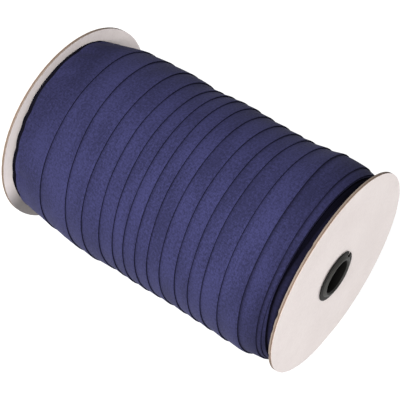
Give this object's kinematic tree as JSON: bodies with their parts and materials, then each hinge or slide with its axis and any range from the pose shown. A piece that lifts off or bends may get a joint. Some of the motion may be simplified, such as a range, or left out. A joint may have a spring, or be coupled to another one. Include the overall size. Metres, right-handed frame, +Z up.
{
  "type": "spool of fold-over elastic",
  "caption": "Long navy elastic wound in overlapping turns between two white card discs, with black plastic bushings in the hub.",
  "frame": {"origin": "on the surface under the middle of the spool, which lies on the rims of its two discs", "axes": "+X along the spool's axis towards the near end in the picture, -Y towards the front, +Z up"},
  "size_m": [0.1737, 0.1128, 0.1115],
  "materials": {
    "elastic": "matt knitted nylon with a soft sheen",
    "white_card": "smooth white-faced greyboard with a raw tan edge",
    "kraft_tube": "raw kraft paper",
    "black_plastic": "moulded, satin"
  },
  "bodies": {
    "root": {"wound_elastic": "elastic", "disc_near": "white_card", "disc_far": "white_card", "bushing_near": "black_plastic", "bushing_far": "black_plastic", "core_tube": "kraft_tube"}
  },
  "joints": []
}
